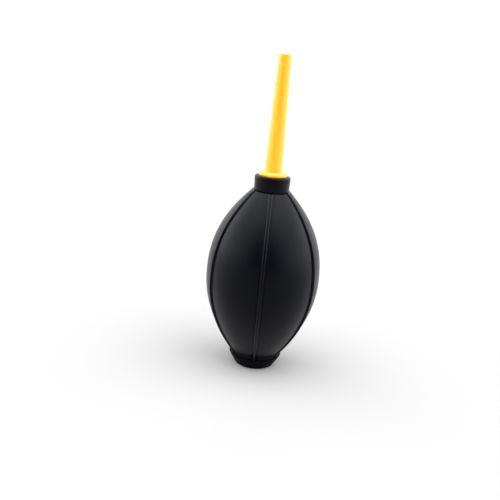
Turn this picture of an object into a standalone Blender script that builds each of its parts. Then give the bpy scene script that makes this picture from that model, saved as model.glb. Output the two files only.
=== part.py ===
"""Hand dust blower: a ribbed rubber bulb on a small foot, with a push-in nozzle and an air inlet valve.

The bulb stands on its foot at the origin and its axis is +Z. The rib at the front faces -Y.
The two side panels of the bulb, between ribs, are walls of their own, so that a squeeze can move them in.
"""

import math

import bmesh
import bpy
from mathutils import Matrix, Vector

MM = 0.001
GAP = 0.3 * MM  # clearance between neighbouring pieces

# Bulb body: an egg of revolution with raised ribs.
BODY_RADIUS = 28.3 * MM
WIDEST_Z = 46.7 * MM
UPPER_REACH = 52.2 * MM  # height above the widest place at which the upper curve would close
UPPER_POWER = 2.36
LOWER_REACH = 52.8 * MM  # depth below the widest place at which the lower curve would close
LOWER_POWER = 1.96
WALL = 2.6 * MM

RIBS = 6
RIB_BASE = 3.2 * MM
RIB_TOP = 0.9 * MM
RIB_HEIGHT = 0.8 * MM
RIB_END_HEIGHT = 0.35 * MM  # what is left of the rib where it meets the neck and the foot
RIB_FADE = 9.0 * MM
PANEL_STEPS = 6  # mesh steps across a panel, from rib to rib

# Foot: a short cone that widens upwards to a rim just proud of the body.
FOOT_BASE_RADIUS = 9.2 * MM
FOOT_EDGE_RADIUS = 10.1 * MM
FOOT_EDGE_Z = 0.9 * MM
FOOT_RIM_RADIUS = 13.3 * MM
FOOT_RIM_Z = 5.8 * MM
FOOT_TOP_RADIUS = 13.1 * MM
FOOT_TOP_Z = 6.3 * MM
BODY_START_Z = 6.6 * MM
FOOT_BORE_RADIUS = 6.0 * MM
FOOT_RECESS_RADIUS = 7.4 * MM
FOOT_RECESS_DEPTH = 1.9 * MM

# Neck: a thick sleeve that grips the nozzle's shank, with a shallow seat on top for its collar.
NECK_BASE_Z = 90.6 * MM
NECK_TOP_Z = 98.0 * MM
NECK_BASE_RADIUS = 8.5 * MM
NECK_RADIUS = 8.75 * MM
NECK_ROUND = 0.8 * MM
NECK_BORE_RADIUS = 4.7 * MM
SEAT_RADIUS = 7.4 * MM
SEAT_DEPTH = 0.5 * MM
SHOULDER_RADIUS = 3.0 * MM  # a narrower ring of rubber, as wide inside as the shank it stops
SHOULDER_THICKNESS = 1.5 * MM

CAVITY_BOTTOM_Z = 9.5 * MM
BODY_RINGS = 19
CAVITY_RINGS = 13

# Side walls: each fills an elliptical window between two ribs.
WINDOW_Z = 46.5 * MM
WINDOW_HALF_HEIGHT = 30.0 * MM
WINDOW_HALF_WIDTH = 12.2 * MM
WINDOW_NEAR_X = 8.0 * MM
WINDOW_FAR_X = 40.0 * MM
WINDOW_SEGMENTS = 48

# Nozzle: shank below the collar, tapered barrel above it, open from end to end.
COLLAR_Z = NECK_TOP_Z - SEAT_DEPTH + GAP
COLLAR_RADIUS = 7.1 * MM
COLLAR_THICKNESS = 1.8 * MM
COLLAR_ROUND = 0.4 * MM
SHANK_LENGTH = 12.8 * MM
SHANK_END_RADIUS = 4.2 * MM
SHANK_RADIUS = NECK_BORE_RADIUS - GAP
BARREL_RADIUS = 4.25 * MM
TIP_RADIUS = 3.0 * MM
TIP_Z = 154.4 * MM
TIP_ROUND = 0.4 * MM
SHANK_END_Z = COLLAR_Z - SHANK_LENGTH
SHANK_BORE_RADIUS = 3.0 * MM
OUTLET_RADIUS = 2.2 * MM
NOZZLE_CHAMFER = 0.3 * MM
NOZZLE_SEGMENTS = 40

# Inlet valve, pressed into the foot from below.
VALVE_BOTTOM_Z = 0.5 * MM
VALVE_TOP_Z = 9.0 * MM
VALVE_RADIUS = FOOT_BORE_RADIUS - GAP
VALVE_FLANGE_RADIUS = FOOT_RECESS_RADIUS - GAP
VALVE_FLANGE_TOP_Z = FOOT_RECESS_DEPTH - GAP
INTAKE_RADIUS = 4.2 * MM
SEAT_UNDERSIDE_Z = 2.6 * MM
SEAT_TOP_Z = 3.9 * MM
SEAT_LIP_Z = 4.3 * MM
SEAT_HOLE_RADIUS = 2.0 * MM
SEAT_LIP_RADIUS = 2.7 * MM
CHAMBER_RADIUS = 4.4 * MM
VALVE_SEGMENTS = 36

DISC_RADIUS = 3.6 * MM
DISC_BOTTOM_Z = SEAT_LIP_Z + GAP
DISC_THICKNESS = 0.8 * MM
DISC_LIFT = 1.2 * MM

CAGE_RADIUS = CHAMBER_RADIUS - GAP
CAGE_INNER_RADIUS = 3.3 * MM
CAGE_ARM_Z = DISC_BOTTOM_Z + DISC_THICKNESS + DISC_LIFT + GAP
CAGE_RING_Z = CAGE_ARM_Z + 0.7 * MM
CAGE_TOP_Z = CAGE_RING_Z + 1.1 * MM
CAGE_HUB_RADIUS = 0.9 * MM
CAGE_HUB_TOP_Z = CAGE_TOP_Z - 0.2 * MM
CAGE_ARMS = 3
CAGE_ARM_WIDTH = 1.0 * MM
CAGE_ARM_START = 0.2 * MM  # inside the hub
CAGE_ARM_REACH = 3.8 * MM  # inside the ring
CAGE_ARM_BOTTOM_Z = CAGE_ARM_Z + 0.05 * MM
CAGE_ARM_TOP_Z = CAGE_TOP_Z - 0.3 * MM

SCREEN_RADIUS = INTAKE_RADIUS - GAP
SCREEN_THICKNESS = 0.35 * MM
SCREEN_Z = SEAT_UNDERSIDE_Z - GAP - SCREEN_THICKNESS
SCREEN_HOLE_RADIUS = 0.42 * MM
SCREEN_HOLE_SIDES = 6
SCREEN_PITCH = 1.3 * MM
SCREEN_RINGS = 2  # rings of holes around the middle one

CLIP_THICKNESS = 0.6 * MM
CLIP_Z = SCREEN_Z - GAP - CLIP_THICKNESS
CLIP_INNER_RADIUS = 3.1 * MM
CLIP_GAP_ANGLE = math.radians(34)

SMOOTH_ANGLE = math.radians(32)


def clear_scene():
    for obj in list(bpy.data.objects):
        bpy.data.objects.remove(obj, do_unlink=True)


def material(name, colour, roughness, metallic=0.0):
    made = bpy.data.materials.new(name)
    made.use_nodes = True
    shader = made.node_tree.nodes["Principled BSDF"]
    shader.inputs["Base Color"].default_value = (*colour, 1.0)
    shader.inputs["Roughness"].default_value = roughness
    shader.inputs["Metallic"].default_value = metallic
    made.diffuse_color = (*colour, 1.0)
    return made


def new_object(name, mesh, look=None, origin_z=0.0):
    """Adds the mesh as an object. Its origin goes on the axis at that height, and its shape stays put."""
    mesh.transform(Matrix.Translation((0, 0, -origin_z)))
    obj = bpy.data.objects.new(name, mesh)
    obj.location.z = origin_z
    bpy.context.scene.collection.objects.link(obj)
    if look and not mesh.materials:
        mesh.materials.append(look)
    return obj


def finish_mesh(bm, name):
    bmesh.ops.recalc_face_normals(bm, faces=bm.faces)
    mesh = bpy.data.meshes.new(name)
    bm.to_mesh(mesh)
    bm.free()
    mesh.shade_smooth()
    mesh.set_sharp_from_angle(angle=SMOOTH_ANGLE)
    return mesh


def round_ring(radius, z, segments):
    angles = [2 * math.pi * i / segments for i in range(segments)]
    return [Vector((radius * math.sin(a), -radius * math.cos(a), z)) for a in angles]


def loft(bm, rings, closed):
    """Joins each ring of points to the next one, and the last to the first if closed; returns the rows."""
    rows = [[bm.verts.new(point) for point in ring] for ring in rings]
    if closed:
        rows.append(rows[0])
    for lower, upper in zip(rows, rows[1:]):
        for i in range(len(lower)):
            j = (i + 1) % len(lower)
            bm.faces.new((lower[i], lower[j], upper[j], upper[i]))
    return rows


def capped_loft(bm, rings):
    """A loft with a flat face over its first ring and its last."""
    rows = loft(bm, rings, closed=False)
    bm.faces.new(reversed(rows[0]))
    bm.faces.new(rows[-1])


def tube_mesh(name, profile, segments):
    """A turned piece with an open bore: the profile is a closed outline of (radius, z) points."""
    bm = bmesh.new()
    loft(bm, [round_ring(radius, z, segments) for radius, z in profile], closed=True)
    return finish_mesh(bm, name)


def disc_mesh(name, profile, segments):
    """A turned piece with no bore: flat faces close the profile's first and last rings."""
    bm = bmesh.new()
    capped_loft(bm, [round_ring(radius, z, segments) for radius, z in profile])
    return finish_mesh(bm, name)


def rounded_corner(radius, z, size, quadrant, steps=3):
    """Points of a quarter-round corner; quadrant is (+-1, +-1), the way the corner points in (r, z)."""
    out, up = quadrant
    angles = [math.pi / 2 * i / steps for i in range(steps + 1)]
    points = [
        (radius - out * size * (1 - math.cos(a)), z - up * size * (1 - math.sin(a))) for a in angles
    ]
    return points if out * up > 0 else points[::-1]


def cutter(obj):
    obj.hide_render = True
    obj.display_type = "WIRE"
    return obj


def boolean(obj, other, operation):
    modifier = obj.modifiers.new(operation.lower() + "_" + other.name, "BOOLEAN")
    modifier.operation = operation
    modifier.object = other
    modifier.solver = "EXACT"


def body_radius(z):
    """Radius of the bulb between its ribs."""
    if z > WIDEST_Z:
        return BODY_RADIUS * (1 - ((z - WIDEST_Z) / UPPER_REACH) ** UPPER_POWER)
    return BODY_RADIUS * (1 - ((WIDEST_Z - z) / LOWER_REACH) ** LOWER_POWER)


def cavity_radius(z):
    """Radius of the air space: the body's curve, one wall thickness in along its own normal."""
    step = 0.1 * MM
    slope = (body_radius(z + step) - body_radius(z - step)) / (2 * step)
    return body_radius(z) - WALL * math.sqrt(1 + slope**2)


def rib_height(z):
    """The rib stands at full height, and fades near the neck and the foot."""
    to_end = min(z - BODY_START_Z, NECK_BASE_Z - z)
    share = min(1.0, max(0.0, to_end / RIB_FADE))
    smooth = share * share * (3 - 2 * share)
    return RIB_END_HEIGHT + (RIB_HEIGHT - RIB_END_HEIGHT) * smooth


def sectored_ring(radius, z, height=0.0):
    """A ring with stations at each rib's feet and top edges, and evenly across the panels between."""
    points = []
    for rib in range(RIBS):
        centre = 2 * math.pi * rib / RIBS
        foot, top = RIB_BASE / 2 / radius, RIB_TOP / 2 / radius
        stations = [(-foot, 0.0), (-top, height), (top, height), (foot, 0.0)]
        panel = 2 * math.pi / RIBS - 2 * foot
        stations += [(foot + panel * i / PANEL_STEPS, 0.0) for i in range(1, PANEL_STEPS)]
        for offset, rise in stations:
            a, r = centre + offset, radius + rise
            points.append(Vector((r * math.sin(a), -r * math.cos(a), z)))
    return points


def spaced(low, high, count):
    return [low + (high - low) * i / (count - 1) for i in range(count)]


def bulb_mesh():
    """The whole moulding as one loop of rings: up the outside, then down through the bores and air space."""
    foot = [
        (FOOT_RECESS_RADIUS, 0.0),
        (FOOT_BASE_RADIUS, 0.0),
        ((FOOT_BASE_RADIUS + FOOT_EDGE_RADIUS) / 2, FOOT_EDGE_Z / 4),
        (FOOT_EDGE_RADIUS, FOOT_EDGE_Z),
        (FOOT_RIM_RADIUS, FOOT_RIM_Z),
        (FOOT_TOP_RADIUS, FOOT_TOP_Z),
    ]
    neck = [(NECK_BASE_RADIUS, NECK_BASE_Z)]
    neck += rounded_corner(NECK_RADIUS, NECK_TOP_Z, NECK_ROUND, (1, 1))
    shoulder_z = SHANK_END_Z - GAP
    cavity_top_z = shoulder_z - SHOULDER_THICKNESS
    seat_z = NECK_TOP_Z - SEAT_DEPTH
    bore = [
        (SEAT_RADIUS, NECK_TOP_Z),
        (SEAT_RADIUS, seat_z),
        (NECK_BORE_RADIUS, seat_z),
        (NECK_BORE_RADIUS, shoulder_z),
        (SHOULDER_RADIUS, shoulder_z),
        (SHOULDER_RADIUS, cavity_top_z),
    ]
    cavity = [
        (cavity_radius(z), z) for z in reversed(spaced(CAVITY_BOTTOM_Z, cavity_top_z, CAVITY_RINGS))
    ]
    outlet = [
        (FOOT_BORE_RADIUS, CAVITY_BOTTOM_Z),
        (FOOT_BORE_RADIUS, FOOT_RECESS_DEPTH),
        (FOOT_RECESS_RADIUS, FOOT_RECESS_DEPTH),
    ]
    rings = [sectored_ring(radius, z) for radius, z in foot]
    rings += [
        sectored_ring(body_radius(z), z, rib_height(z))
        for z in spaced(BODY_START_Z, NECK_BASE_Z, BODY_RINGS)
    ]
    rings += [sectored_ring(radius, z) for radius, z in neck + bore + cavity + outlet]
    bm = bmesh.new()
    loft(bm, rings, closed=True)
    return finish_mesh(bm, "bulb")


def window_cutter(name, side, inset):
    """An elliptical prism along X through one side panel; inset makes the wall smaller than its window."""
    bm = bmesh.new()
    angles = [2 * math.pi * i / WINDOW_SEGMENTS for i in range(WINDOW_SEGMENTS)]
    outline = [
        (
            (WINDOW_HALF_WIDTH - inset) * math.cos(a),
            WINDOW_Z + (WINDOW_HALF_HEIGHT - inset) * math.sin(a),
        )
        for a in angles
    ]
    rings = [[Vector((side * x, y, z)) for y, z in outline] for x in (WINDOW_NEAR_X, WINDOW_FAR_X)]
    capped_loft(bm, rings)
    return cutter(new_object(name, finish_mesh(bm, name)))


def make_bulb(rubber):
    """The shell has a window in each side, and each side wall is the same moulding cut to fit its window."""
    mesh = bulb_mesh()
    shell = new_object("bulb_shell", mesh, rubber)
    for label, side in (("left", -1), ("right", 1)):
        boolean(shell, window_cutter(f"cut_{label}_window", side, 0.0), "DIFFERENCE")
        wall = new_object(f"bulb_{label}_wall", mesh.copy(), rubber, WINDOW_Z)
        boolean(wall, window_cutter(f"cut_{label}_wall", side, GAP), "INTERSECT")


def make_nozzle(plastic):
    top = COLLAR_Z + COLLAR_THICKNESS
    profile = [(SHANK_BORE_RADIUS, SHANK_END_Z), (SHANK_END_RADIUS - NOZZLE_CHAMFER, SHANK_END_Z)]
    profile += [(SHANK_END_RADIUS, SHANK_END_Z + NOZZLE_CHAMFER), (SHANK_RADIUS, COLLAR_Z)]
    profile += rounded_corner(COLLAR_RADIUS, COLLAR_Z, COLLAR_ROUND, (1, -1))
    profile += rounded_corner(COLLAR_RADIUS, top, COLLAR_ROUND, (1, 1))
    profile += [(BARREL_RADIUS + NOZZLE_CHAMFER, top), (BARREL_RADIUS, top + NOZZLE_CHAMFER)]
    profile += rounded_corner(TIP_RADIUS, TIP_Z, TIP_ROUND, (1, 1))
    profile += [(OUTLET_RADIUS, TIP_Z), (SHANK_BORE_RADIUS, COLLAR_Z)]
    new_object("nozzle", tube_mesh("nozzle", profile, NOZZLE_SEGMENTS), plastic, COLLAR_Z)


def make_valve_body(plastic):
    profile = [
        (INTAKE_RADIUS, VALVE_BOTTOM_Z),
        (VALVE_FLANGE_RADIUS, VALVE_BOTTOM_Z),
        (VALVE_FLANGE_RADIUS, VALVE_FLANGE_TOP_Z),
        (VALVE_RADIUS, VALVE_FLANGE_TOP_Z),
        (VALVE_RADIUS, VALVE_TOP_Z),
        (CHAMBER_RADIUS, VALVE_TOP_Z),
        (CHAMBER_RADIUS, SEAT_TOP_Z),
        (SEAT_LIP_RADIUS, SEAT_TOP_Z),
        (SEAT_LIP_RADIUS, SEAT_LIP_Z),
        (SEAT_HOLE_RADIUS, SEAT_LIP_Z),
        (SEAT_HOLE_RADIUS, SEAT_UNDERSIDE_Z),
        (INTAKE_RADIUS, SEAT_UNDERSIDE_Z),
    ]
    mesh = tube_mesh("inlet_valve_body", profile, VALVE_SEGMENTS)
    return new_object("inlet_valve_body", mesh, plastic, VALVE_BOTTOM_Z)


def make_valve_disc(rubber):
    profile = [(DISC_RADIUS, DISC_BOTTOM_Z), (DISC_RADIUS, DISC_BOTTOM_Z + DISC_THICKNESS)]
    mesh = disc_mesh("inlet_valve_disc", profile, VALVE_SEGMENTS)
    return new_object("inlet_valve_disc", mesh, rubber, DISC_BOTTOM_Z)


def make_valve_cage(plastic):
    """A ring with three arms below it, which stop the disc and leave room for air around them."""
    ring = [
        (CAGE_INNER_RADIUS, CAGE_RING_Z),
        (CAGE_RADIUS, CAGE_RING_Z),
        (CAGE_RADIUS, CAGE_TOP_Z),
        (CAGE_INNER_RADIUS, CAGE_TOP_Z),
    ]
    mesh = tube_mesh("valve_cage", ring, VALVE_SEGMENTS)
    cage = new_object("valve_cage", mesh, plastic, CAGE_RING_Z)
    hub = [(CAGE_HUB_RADIUS, CAGE_ARM_Z), (CAGE_HUB_RADIUS, CAGE_HUB_TOP_Z)]
    spider = cutter(new_object("cage_hub", disc_mesh("cage_hub", hub, VALVE_SEGMENTS // 3)))
    for arm in range(CAGE_ARMS):
        turn = 2 * math.pi * arm / CAGE_ARMS
        along = Vector((math.sin(turn), -math.cos(turn), 0))
        across = Vector((math.cos(turn), math.sin(turn), 0)) * CAGE_ARM_WIDTH / 2
        section = [
            -across + Vector((0, 0, CAGE_ARM_BOTTOM_Z)),
            across + Vector((0, 0, CAGE_ARM_BOTTOM_Z)),
            across + Vector((0, 0, CAGE_ARM_TOP_Z)),
            -across + Vector((0, 0, CAGE_ARM_TOP_Z)),
        ]
        bm = bmesh.new()
        ends = (CAGE_ARM_START, CAGE_ARM_REACH)
        capped_loft(bm, [[point + along * distance for point in section] for distance in ends])
        bar = cutter(new_object(f"cage_arm_{arm}", finish_mesh(bm, "cage_arm")))
        boolean(spider, bar, "UNION")
    boolean(cage, spider, "UNION")
    return cage


def make_dust_screen(steel):
    """A thin perforated disc, with its holes in a hexagonal pattern."""
    rim = [(SCREEN_RADIUS, SCREEN_Z), (SCREEN_RADIUS, SCREEN_Z + SCREEN_THICKNESS)]
    mesh = disc_mesh("dust_screen", rim, VALVE_SEGMENTS)
    screen = new_object("dust_screen", mesh, steel, SCREEN_Z)
    bm = bmesh.new()
    for row in range(-SCREEN_RINGS, SCREEN_RINGS + 1):
        for column in range(-SCREEN_RINGS, SCREEN_RINGS + 1):
            if abs(row + column) > SCREEN_RINGS:
                continue
            centre = Vector(
                (SCREEN_PITCH * (column + row / 2), SCREEN_PITCH * row * math.sqrt(3) / 2, 0)
            )
            rings = [
                [point + centre for point in round_ring(SCREEN_HOLE_RADIUS, z, SCREEN_HOLE_SIDES)]
                for z in (SCREEN_Z - GAP, SCREEN_Z + SCREEN_THICKNESS + GAP)
            ]
            capped_loft(bm, rings)
    holes = cutter(new_object("cut_screen_holes", finish_mesh(bm, "cut_screen_holes")))
    boolean(screen, holes, "DIFFERENCE")
    return screen


def make_snap_ring(steel):
    """A split ring under the screen, open at the front."""
    bm = bmesh.new()
    sweep = 2 * math.pi - CLIP_GAP_ANGLE
    section = [
        (CLIP_INNER_RADIUS, CLIP_Z),
        (SCREEN_RADIUS, CLIP_Z),
        (SCREEN_RADIUS, CLIP_Z + CLIP_THICKNESS),
        (CLIP_INNER_RADIUS, CLIP_Z + CLIP_THICKNESS),
    ]
    rings = []
    for i in range(VALVE_SEGMENTS + 1):
        a = CLIP_GAP_ANGLE / 2 + sweep * i / VALVE_SEGMENTS
        rings.append([Vector((r * math.sin(a), -r * math.cos(a), z)) for r, z in section])
    capped_loft(bm, rings)
    return new_object("screen_snap_ring", finish_mesh(bm, "screen_snap_ring"), steel, CLIP_Z)


def make_inlet_valve(plastic, rubber, steel):
    """All the valve's pieces hang on one empty at the valve's underside."""
    valve = bpy.data.objects.new("inlet_valve", None)
    valve.location.z = VALVE_BOTTOM_Z
    bpy.context.scene.collection.objects.link(valve)
    pieces = [
        make_valve_body(plastic),
        make_valve_disc(rubber),
        make_valve_cage(plastic),
        make_dust_screen(steel),
        make_snap_ring(steel),
    ]
    for piece in pieces:
        piece.parent = valve
        piece.matrix_parent_inverse = Matrix.Translation((0, 0, -VALVE_BOTTOM_Z))


def main():
    clear_scene()
    rubber = material("black_rubber", (0.017, 0.017, 0.019), 0.55)
    yellow = material("yellow_plastic", (0.95, 0.56, 0.03), 0.35)
    dark = material("dark_plastic", (0.03, 0.03, 0.033), 0.4)
    soft = material("valve_rubber", (0.05, 0.045, 0.04), 0.6)
    steel = material("stainless_steel", (0.6, 0.6, 0.6), 0.3, metallic=1.0)
    make_bulb(rubber)
    make_nozzle(yellow)
    make_inlet_valve(dark, soft, steel)


main()
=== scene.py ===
"""Looks of the dust blower bulb: a ribbed black rubber bulb on a small foot, with a yellow nozzle.

The bulb is drawn as a foot, a neck and two halves of ribbed body, which meet along the front and back ribs.
"""

import math

import bpy
from mathutils import Matrix, Vector, noise


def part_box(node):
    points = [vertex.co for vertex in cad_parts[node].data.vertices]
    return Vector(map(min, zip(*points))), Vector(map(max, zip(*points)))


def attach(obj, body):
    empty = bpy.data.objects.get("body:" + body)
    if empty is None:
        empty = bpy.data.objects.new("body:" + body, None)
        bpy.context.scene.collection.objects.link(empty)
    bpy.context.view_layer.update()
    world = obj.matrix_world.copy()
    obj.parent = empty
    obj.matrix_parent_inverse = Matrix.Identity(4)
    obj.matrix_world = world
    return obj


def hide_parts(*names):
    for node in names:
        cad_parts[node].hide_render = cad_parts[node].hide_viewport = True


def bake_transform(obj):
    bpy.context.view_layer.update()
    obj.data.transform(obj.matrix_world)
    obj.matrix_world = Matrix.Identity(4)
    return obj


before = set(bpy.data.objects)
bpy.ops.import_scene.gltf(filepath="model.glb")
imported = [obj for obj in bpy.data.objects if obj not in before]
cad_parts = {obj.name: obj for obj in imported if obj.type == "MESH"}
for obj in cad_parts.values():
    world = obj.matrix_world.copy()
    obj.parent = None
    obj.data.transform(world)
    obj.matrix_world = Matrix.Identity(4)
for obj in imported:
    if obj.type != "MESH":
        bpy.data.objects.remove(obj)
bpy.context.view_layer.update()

MM = 0.001

# ---------------------------------------------------------------- dimensions

bulb_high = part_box("bulb_shell")[1]
wall_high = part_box("bulb_right_wall")[1]
nozzle_low, nozzle_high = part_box("nozzle")
GAP = 0.3 * MM  # the nozzle's clearance in the neck
CLOSE = 0.02 * MM  # between pieces of rubber that meet

# body: an egg of revolution with six raised ribs
BODY_RADIUS = wall_high.x
WIDEST_Z = 46.7 * MM
UPPER_REACH = 52.2 * MM  # this far above its widest height, the egg's radius would come to zero
UPPER_POWER = 2.36
LOWER_REACH = 52.8 * MM  # and this far below it
LOWER_POWER = 1.96
WALL = 2.6 * MM
RIBS = 6
RIB_HEIGHT = bulb_high.y - BODY_RADIUS
RIB_END_HEIGHT = 0.7 * MM
RIB_FADE = 9.0 * MM  # over which a rib drops to its end height, at the neck and at the foot
RIB_TOP = 0.36 * MM  # half the width of the rib's flat top
RIB_FOOT = 1.1 * MM  # half its width where the flanks meet the body
CREASE_AT = 1.3 * MM  # from the rib's centre line
CREASE_DEPTH = 0.25 * MM
CREASE_WIDTH = 0.26 * MM
RIB_ZONE = 2.0 * MM  # half the width that the rib and its creases take up
RIB_STEPS = 24
PANEL_STEPS = 22
BODY_ROWS = 150
CAVITY_ROWS = 60
NARROW_RADIUS = 8.0 * MM  # inside this, a rib's zone keeps its angle
WAVINESS = 0.05 * MM
WAVE_SCALE = 90.0  # waves per metre

# foot and neck
FOOT_BORE = 6.0 * MM
RECESS_RADIUS = 7.4 * MM
RECESS_DEPTH = 1.9 * MM
FOOT_BASE = 10.0 * MM
FOOT_RIM = 13.3 * MM
FOOT_RIM_Z = 5.6 * MM
FOOT_TOP = FOOT_RIM - 0.1 * MM
FOOT_TOP_Z = 6.3 * MM
LEDGE_RADIUS = 12.6 * MM  # where the body runs out onto the foot
LEDGE_RISE = 3.0 * MM
LEDGE_ROWS = 12
NECK_BASE_Z = 90.6 * MM
NECK_TOP_Z = bulb_high.z
NECK_BASE = 8.5 * MM
NECK_RADIUS = 8.75 * MM
NECK_BORE = 4.5 * MM
SEAT_RADIUS = 7.25 * MM
SEAT_DEPTH = 0.5 * MM
SEAT_Z = NECK_TOP_Z - SEAT_DEPTH
SHOULDER_THICKNESS = 1.5 * MM
SHOULDER_TOP_Z = nozzle_low.z - GAP
CAVITY_TOP_Z = SHOULDER_TOP_Z - SHOULDER_THICKNESS
CAVITY_BOTTOM_Z = 9.5 * MM
SHOULDER_BORE = 3.0 * MM

# nozzle
COLLAR_Z = SEAT_Z + GAP
COLLAR_RADIUS = nozzle_high.x
COLLAR_THICKNESS = 1.8 * MM
SHANK_RADIUS = 4.4 * MM
SHANK_END_RADIUS = 4.2 * MM
BARREL_RADIUS = 4.25 * MM
TIP_RADIUS = 3.0 * MM
BORE_RADIUS = 3.0 * MM
OUTLET_RADIUS = 2.2 * MM

ROUND_SEGMENTS = 160

# camera and floor
LENS = 45.9
SENSOR_WIDTH = 36
CAMERA_PLACE = (-0.00753, -0.3055, 0.1478)  # before the orbit
CAMERA_ORBIT = 1.4  # degrees round the bulb's axis
CAMERA_TILT = 16.08  # degrees below level
CAMERA_ROLL = 5.54  # degrees, which makes the bulb lean in the picture
FLOOR_REACH = 3.0  # metres, from its middle to each edge
FLOOR_ALBEDO = 0.36  # the lit floor comes out just white
SEEN_WHITE = 1.05  # what the camera sees past the floor


# ---------------------------------------------------------------- mesh helpers


def add_mesh(name, points, faces, material, sharp=35):
    mesh = bpy.data.meshes.new(name)
    mesh.from_pydata(points, [], faces)
    mesh.validate()
    mesh.shade_smooth()
    mesh.set_sharp_from_angle(angle=math.radians(sharp))
    mesh.materials.append(material)
    piece = bpy.data.objects.new(name, mesh)
    bpy.context.scene.collection.objects.link(piece)
    return piece


def rounded(outline, steps=6):
    """A closed outline of (r, z, corner radius) points, with each corner turned into an arc."""
    points = []
    count = len(outline)
    for i, (r, z, size) in enumerate(outline):
        corner = Vector((r, z))
        if size <= 0:
            points.append(corner)
            continue
        before = (Vector(outline[i - 1][:2]) - corner).normalized()
        after = (Vector(outline[(i + 1) % count][:2]) - corner).normalized()
        half = before.angle(after) / 2
        reach = size / math.tan(half)
        centre = corner + (before + after).normalized() * (size / math.sin(half))
        start = corner + before * reach - centre
        turn = math.pi - 2 * half
        turn = turn if start.cross(corner + after * reach - centre) > 0 else -turn
        for k in range(steps + 1):
            c, s = math.cos(turn * k / steps), math.sin(turn * k / steps)
            points.append(centre + Vector((start.x * c - start.y * s, start.x * s + start.y * c)))
    return points


def lathe(name, outline, material, segments=ROUND_SEGMENTS, steps=6):
    """A turned ring: the outline runs anticlockwise in (r, z)."""
    profile = rounded(outline, steps)
    points = []
    for r, z in profile:
        for k in range(segments):
            a = 2 * math.pi * k / segments
            points.append((r * math.sin(a), -r * math.cos(a), z))
    faces = []
    for i in range(len(profile)):
        j = (i + 1) % len(profile)
        for k in range(segments):
            m = (k + 1) % segments
            faces.append((i * segments + k, i * segments + m, j * segments + m, j * segments + k))
    return add_mesh(name, points, faces, material)


# ---------------------------------------------------------------- materials


class Look:
    """A Principled material and the nodes that feed it."""

    def __init__(self, name, **values):
        self.material = bpy.data.materials.new(name)
        self.material.use_nodes = True
        self.tree = self.material.node_tree
        self.shader = self.tree.nodes["Principled BSDF"]
        self.place = self.node("ShaderNodeTexCoord").outputs["Object"]
        for key, value in values.items():
            self.shader.inputs[key.replace("_", " ")].default_value = value

    def node(self, kind, **settings):
        made = self.tree.nodes.new(kind)
        for key, value in settings.items():
            setattr(made, key, value)
        return made

    def link(self, output, target):
        self.tree.links.new(output, target)

    def noise(self, scale, detail=3.0, roughness=0.55, stretch=None):
        """Noise in object space; scale is per metre."""
        texture = self.node("ShaderNodeTexNoise")
        texture.inputs["Scale"].default_value = scale
        texture.inputs["Detail"].default_value = detail
        texture.inputs["Roughness"].default_value = roughness
        place = self.place
        if stretch:
            mapping = self.node("ShaderNodeMapping")
            mapping.inputs["Scale"].default_value = stretch
            self.link(place, mapping.inputs["Vector"])
            place = mapping.outputs["Vector"]
        self.link(place, texture.inputs["Vector"])
        return texture.outputs["Fac"]

    def spread(self, value, low, high):
        """The middle of a texture's range stretched to run from low to high."""
        remap = self.node("ShaderNodeMapRange")
        remap.inputs["From Min"].default_value = 0.3
        remap.inputs["From Max"].default_value = 0.7
        remap.inputs["To Min"].default_value = low
        remap.inputs["To Max"].default_value = high
        self.link(value, remap.inputs["Value"])
        return remap.outputs["Result"]

    def ramp(self, value, stops):
        ramp = self.node("ShaderNodeValToRGB")
        elements = ramp.color_ramp.elements
        while len(elements) < len(stops):
            elements.new(0.5)
        for element, (position, colour) in zip(elements, stops):
            element.position = position
            element.color = (*colour, 1.0)
        self.link(value, ramp.inputs["Fac"])
        return ramp.outputs["Color"]

    def bump(self, height, strength, distance, under=None):
        made = self.node("ShaderNodeBump")
        made.inputs["Strength"].default_value = strength
        made.inputs["Distance"].default_value = distance
        self.link(height, made.inputs["Height"])
        if under is not None:
            self.link(under, made.inputs["Normal"])
        return made.outputs["Normal"]

    def set(self, **sockets):
        for key, output in sockets.items():
            self.link(output, self.shader.inputs[key.replace("_", " ")])
        return self.material


def rubber_look(name, dark, light, low, high, gloss, tint=(1.0, 1.0, 1.0)):
    """Its colour runs from dark to light and its roughness from low to high."""
    look = Look(name, Specular_IOR_Level=gloss)
    look.shader.inputs["Specular Tint"].default_value = (*tint, 1.0)
    cloudy = look.noise(70, detail=4)
    colour = look.ramp(cloudy, [(0.3, dark), (0.7, light)])
    grain = look.bump(look.noise(3200, detail=2), 0.22, 0.03 * MM)
    normal = look.bump(look.noise(520, detail=2), 0.12, 0.06 * MM, under=grain)
    roughness = look.spread(look.noise(260, detail=5, roughness=0.6), low, high)
    return look.set(Base_Color=colour, Roughness=roughness, Normal=normal)


def plastic_look():
    look = Look("yellow_plastic", Subsurface_Weight=0.6, Subsurface_Scale=0.003, IOR=1.45, Sheen_Weight=0.3)
    look.shader.inputs["Subsurface Radius"].default_value = (1.0, 0.4, 0.08)
    flow = look.noise(160, detail=3, stretch=(1.0, 1.0, 0.12))
    colour = look.ramp(flow, [(0.3, (0.93, 0.42, 0.007)), (0.7, (0.97, 0.46, 0.01))])
    grain = look.bump(look.noise(2600, detail=2), 0.1, 0.02 * MM)
    normal = look.bump(look.noise(240, detail=2, stretch=(1.0, 1.0, 0.2)), 0.1, 0.05 * MM, under=grain)
    roughness = look.spread(look.noise(420, detail=4), 0.26, 0.36)
    return look.set(Base_Color=colour, Roughness=roughness, Normal=normal)


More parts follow.
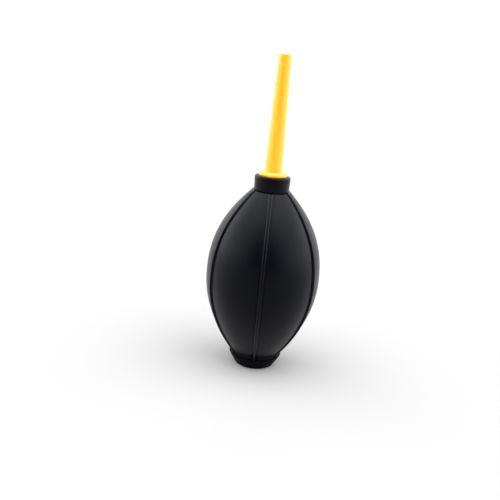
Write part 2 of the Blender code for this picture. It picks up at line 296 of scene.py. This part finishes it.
def dark_plastic_look():
    look = Look("dark_plastic")
    colour = look.ramp(look.noise(300), [(0.3, (0.028, 0.028, 0.03)), (0.7, (0.042, 0.042, 0.045))])
    normal = look.bump(look.noise(4200, detail=2), 0.3, 0.02 * MM)
    roughness = look.spread(look.noise(700), 0.36, 0.5)
    return look.set(Base_Color=colour, Roughness=roughness, Normal=normal)


def steel_look():
    look = Look("stainless_steel", Metallic=1.0)
    brushed = look.noise(900, detail=4, stretch=(1.0, 14.0, 1.0))
    colour = look.ramp(brushed, [(0.3, (0.5, 0.5, 0.49)), (0.7, (0.68, 0.68, 0.67))])
    normal = look.bump(brushed, 0.12, 0.01 * MM)
    roughness = look.spread(brushed, 0.2, 0.34)
    return look.set(Base_Color=colour, Roughness=roughness, Normal=normal)


# ---------------------------------------------------------------- bulb


def body_radius(z):
    """The egg's outside between its ribs."""
    if z > WIDEST_Z:
        return BODY_RADIUS * (1 - ((z - WIDEST_Z) / UPPER_REACH) ** UPPER_POWER)
    return BODY_RADIUS * (1 - ((WIDEST_Z - z) / LOWER_REACH) ** LOWER_POWER)


def cavity_radius(z):
    """The air chamber's wall, one wall thickness inside the egg, measured square to its surface."""
    step = 0.1 * MM
    slope = (body_radius(z + step) - body_radius(z - step)) / (2 * step)
    return body_radius(z) - WALL * math.sqrt(1 + slope**2)


def skin_radius(z):
    """The body's outside between its ribs, with the fillet that runs out onto the foot's ledge."""
    bottom = FOOT_TOP_Z + CLOSE
    share = max(0.0, 1 - (z - bottom) / LEDGE_RISE)
    return body_radius(z) + (LEDGE_RADIUS - body_radius(bottom)) * share**3


def smooth(t):
    t = min(1.0, max(0.0, t))
    return t * t * (3 - 2 * t)


def rib_height(z):
    share = smooth(min(z - FOOT_TOP_Z, NECK_BASE_Z - z) / RIB_FADE)
    return RIB_END_HEIGHT + (RIB_HEIGHT - RIB_END_HEIGHT) * share


def rib_section(s, height):
    """How far the skin stands out at distance s from a rib's centre line."""
    s = abs(s)
    climb = min(1.0, max(0.0, (RIB_FOOT - s) / (RIB_FOOT - RIB_TOP)))
    raised = height * (climb + smooth(climb)) / 2
    crease = CREASE_DEPTH * math.exp(-(((s - CREASE_AT) / CREASE_WIDTH) ** 2))
    return raised - crease


def half_stations():
    """From front to back: (rib, s, None) at s from a rib's centre line, (rib, None, share) across a panel."""
    stations = []
    for rib in range(RIBS // 2 + 1):
        for k in range(-RIB_STEPS, RIB_STEPS + 1):
            if (rib == 0 and k < 0) or (rib == RIBS // 2 and k > 0):
                continue
            stations.append((rib, RIB_ZONE * k / RIB_STEPS, None))
        if rib < RIBS // 2:
            stations += [(rib, None, k / PANEL_STEPS) for k in range(1, PANEL_STEPS)]
    return stations


def half_ring(stations, side, radius, z, height=None):
    """One row of points from front to back round one side; height is the rib's height on the outer skin."""
    zone = RIB_ZONE / max(radius, NARROW_RADIUS)
    points = []
    for rib, s, share in stations:
        centre = 2 * math.pi * rib / RIBS
        r = radius
        if s is None:
            a = centre + zone + (2 * math.pi / RIBS - 2 * zone) * share
        else:
            a = centre + zone * s / RIB_ZONE
            r += rib_section(s, height) if height is not None else 0.0
        point = Vector((side * r * math.sin(a), -r * math.cos(a), z))
        if height is not None:
            wave = noise.noise(point * WAVE_SCALE) * WAVINESS
            fade = smooth(min(z - FOOT_TOP_Z, NECK_BASE_Z - z) / RIB_FADE)
            inward = -abs(wave) * fade
            point.x += side * math.sin(a) * inward
            point.y -= math.cos(a) * inward
        points.append(point)
    return points


def spaced(low, high, count):
    return [low + (high - low) * i / (count - 1) for i in range(count)]


def make_half(label, side, material):
    """One closed half of the hollow body, from the foot's ledge to under the neck."""
    stations = half_stations()
    bottom, top = FOOT_TOP_Z + CLOSE, NECK_BASE_Z - CLOSE
    heights = [bottom + LEDGE_RISE * k / LEDGE_ROWS for k in range(LEDGE_ROWS)]
    heights += spaced(bottom + LEDGE_RISE, top, BODY_ROWS)
    rows = [half_ring(stations, side, skin_radius(z), z, rib_height(z)) for z in heights]
    inside = [(NECK_BORE, top), (NECK_BORE, SHOULDER_TOP_Z), (SHOULDER_BORE, SHOULDER_TOP_Z)]
    inside += [(SHOULDER_BORE, CAVITY_TOP_Z)]
    inside += [(cavity_radius(z), z) for z in spaced(CAVITY_TOP_Z, CAVITY_BOTTOM_Z, CAVITY_ROWS)]
    inside += [(FOOT_BORE, CAVITY_BOTTOM_Z), (FOOT_BORE, bottom)]
    rows += [half_ring(stations, side, radius, z) for radius, z in inside]
    width = len(stations)
    points = [point for row in rows for point in row]
    faces = []
    for i in range(len(rows)):
        j = (i + 1) % len(rows)
        for k in range(width - 1):
            quad = (i * width + k, i * width + k + 1, j * width + k + 1, j * width + k)
            faces.append(quad if side > 0 else quad[::-1])
    front = [i * width for i in range(len(rows))]
    back = [i * width + width - 1 for i in range(len(rows))]
    faces.append(front if side > 0 else front[::-1])
    faces.append(back[::-1] if side > 0 else back)
    half = add_mesh(f"bulb_body_{label}", points, faces, material)
    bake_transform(half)
    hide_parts("bulb_shell", f"bulb_{label}_wall")


def make_foot(material):
    outline = [
        (RECESS_RADIUS, 0, 0.2 * MM),
        (FOOT_BASE, 0, 1.2 * MM),
        (FOOT_RIM, FOOT_RIM_Z, 0.6 * MM),
        (FOOT_TOP, FOOT_TOP_Z, 0.3 * MM),
        (FOOT_BORE, FOOT_TOP_Z, 0),
        (FOOT_BORE, RECESS_DEPTH, 0),
        (RECESS_RADIUS, RECESS_DEPTH, 0),
    ]
    foot = lathe("bulb_foot", outline, material)
    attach(foot, "bulb")
    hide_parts("bulb_shell")


def make_neck(material):
    outline = [
        (NECK_BORE, NECK_BASE_Z, 0),
        (NECK_BASE, NECK_BASE_Z, 0.3 * MM),
        (NECK_RADIUS, NECK_TOP_Z, 0.9 * MM),
        (SEAT_RADIUS, NECK_TOP_Z, 0.2 * MM),
        (SEAT_RADIUS, SEAT_Z, 0),
        (NECK_BORE, SEAT_Z, 0),
    ]
    neck = lathe("bulb_neck", outline, material)
    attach(neck, "bulb")
    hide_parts("bulb_shell")


# ---------------------------------------------------------------- nozzle and valve


def make_nozzle(material):
    top = COLLAR_Z + COLLAR_THICKNESS
    outline = [
        (BORE_RADIUS, nozzle_low.z, 0.25 * MM),
        (SHANK_END_RADIUS, nozzle_low.z, 0.4 * MM),
        (SHANK_RADIUS, COLLAR_Z, 0.15 * MM),
        (COLLAR_RADIUS, COLLAR_Z, 0.7 * MM),
        (COLLAR_RADIUS, top, 0.85 * MM),
        (BARREL_RADIUS, top, 0.5 * MM),
        (TIP_RADIUS, nozzle_high.z, 0.55 * MM),
        (OUTLET_RADIUS, nozzle_high.z, 0.2 * MM),
        (BORE_RADIUS, COLLAR_Z, 0),
    ]
    nozzle = lathe("nozzle_visual", outline, material, steps=10)
    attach(nozzle, "nozzle")
    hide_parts("nozzle")


rubber = rubber_look(
    "black_rubber",
    dark=(0.0009, 0.001, 0.0022),
    light=(0.0014, 0.0015, 0.003),
    low=0.3,
    high=0.36,
    gloss=0.24,
    tint=(0.33, 0.34, 0.375),
)
foot_rubber = rubber_look(
    "foot_rubber",
    dark=(0.0007, 0.0007, 0.0022),
    light=(0.0012, 0.0012, 0.0028),
    low=0.45,
    high=0.55,
    gloss=0.03,
)
valve_rubber = rubber_look(
    "valve_rubber",
    dark=(0.03, 0.026, 0.022),
    light=(0.055, 0.048, 0.04),
    low=0.55,
    high=0.7,
    gloss=0.4,
)
plastic = plastic_look()
dark_plastic = dark_plastic_look()
steel = steel_look()

for label, side in (("left", -1), ("right", 1)):
    make_half(label, side, rubber)
make_foot(foot_rubber)
make_neck(rubber)
make_nozzle(plastic)

for node, look in (
    ("inlet_valve_body", dark_plastic),
    ("valve_cage", dark_plastic),
    ("inlet_valve_disc", valve_rubber),
    ("dust_screen", steel),
    ("screen_snap_ring", steel),
):
    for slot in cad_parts[node].material_slots:
        slot.material = look


# ---------------------------------------------------------------- stage, light and camera


def make_floor():
    look = Look("floor", Roughness=0.7)
    look.shader.inputs["Base Color"].default_value = (FLOOR_ALBEDO, FLOOR_ALBEDO, FLOOR_ALBEDO, 1.0)
    points = [(x * FLOOR_REACH, y * FLOOR_REACH, 0) for x, y in ((-1, -1), (1, -1), (1, 1), (-1, 1))]
    floor = add_mesh("floor", points, [(0, 1, 2, 3)], look.material)


def make_world():
    """Camera rays see white; the rest see a room, dark in front, with soft light above and at each side."""
    world = bpy.data.worlds.new("studio")
    bpy.context.scene.world = world
    world.use_nodes = True
    tree = world.node_tree
    tree.nodes.clear()
    place = tree.nodes.new("ShaderNodeTexCoord").outputs["Generated"]

    def ramp(value, start, end, low, high):
        """A smooth rise from low to high as the value goes from start to end."""
        made = tree.nodes.new("ShaderNodeMapRange")
        made.interpolation_type = "SMOOTHSTEP"
        for key, number in (("From Min", start), ("From Max", end), ("To Min", low), ("To Max", high)):
            made.inputs[key].default_value = number
        tree.links.new(value, made.inputs["Value"])
        return made.outputs["Result"]

    def towards(direction):
        """The cosine of the angle between a ray and a direction."""
        made = tree.nodes.new("ShaderNodeVectorMath")
        made.operation = "DOT_PRODUCT"
        tree.links.new(place, made.inputs[0])
        made.inputs[1].default_value = Vector(direction).normalized()
        return made.outputs["Value"]

    def maths(operation, *values):
        made = tree.nodes.new("ShaderNodeMath")
        made.operation = operation
        for value, socket in zip(values, made.inputs):
            tree.links.new(value, socket)
        return made.outputs["Value"]

    back = ramp(towards((0, 1, -0.3)), -0.6, 0.8, 0.02, 1.6)
    left = ramp(towards((-0.84, -0.1, 0.5)), 0.45, 1.0, 0.0, 3.7)
    right = ramp(towards((0.8, -0.16, 0.52)), 0.5, 1.0, 0.0, 3.6)
    ceiling = ramp(towards((0.04, -0.2, 1.0)), 0.68, 1.0, 0.0, 4.1)
    total = maths("ADD", maths("ADD", back, ceiling), maths("ADD", left, right))
    room = tree.nodes.new("ShaderNodeBackground")
    tree.links.new(total, room.inputs["Strength"])
    white = tree.nodes.new("ShaderNodeBackground")
    white.inputs["Color"].default_value = (1, 1, 1, 1)
    white.inputs["Strength"].default_value = SEEN_WHITE
    path = tree.nodes.new("ShaderNodeLightPath")
    mix = tree.nodes.new("ShaderNodeMixShader")
    tree.links.new(path.outputs["Is Camera Ray"], mix.inputs["Fac"])
    tree.links.new(room.outputs["Background"], mix.inputs[1])
    tree.links.new(white.outputs["Background"], mix.inputs[2])
    output = tree.nodes.new("ShaderNodeOutputWorld")
    tree.links.new(mix.outputs["Shader"], output.inputs["Surface"])


def make_camera():
    data = bpy.data.cameras.new("camera")
    data.lens = LENS
    data.sensor_width = SENSOR_WIDTH
    camera = bpy.data.objects.new("camera", data)
    tilt = Matrix.Rotation(math.radians(90 - CAMERA_TILT), 4, "X")
    roll = Matrix.Rotation(math.radians(CAMERA_ROLL), 4, "Z")
    orbit = Matrix.Rotation(math.radians(CAMERA_ORBIT), 4, "Z")
    camera.matrix_world = orbit @ Matrix.Translation(CAMERA_PLACE) @ tilt @ roll
    bpy.context.scene.collection.objects.link(camera)
    bpy.context.scene.camera = camera


make_floor()
make_world()
make_camera()
bpy.context.scene.view_settings.view_transform = "Standard"
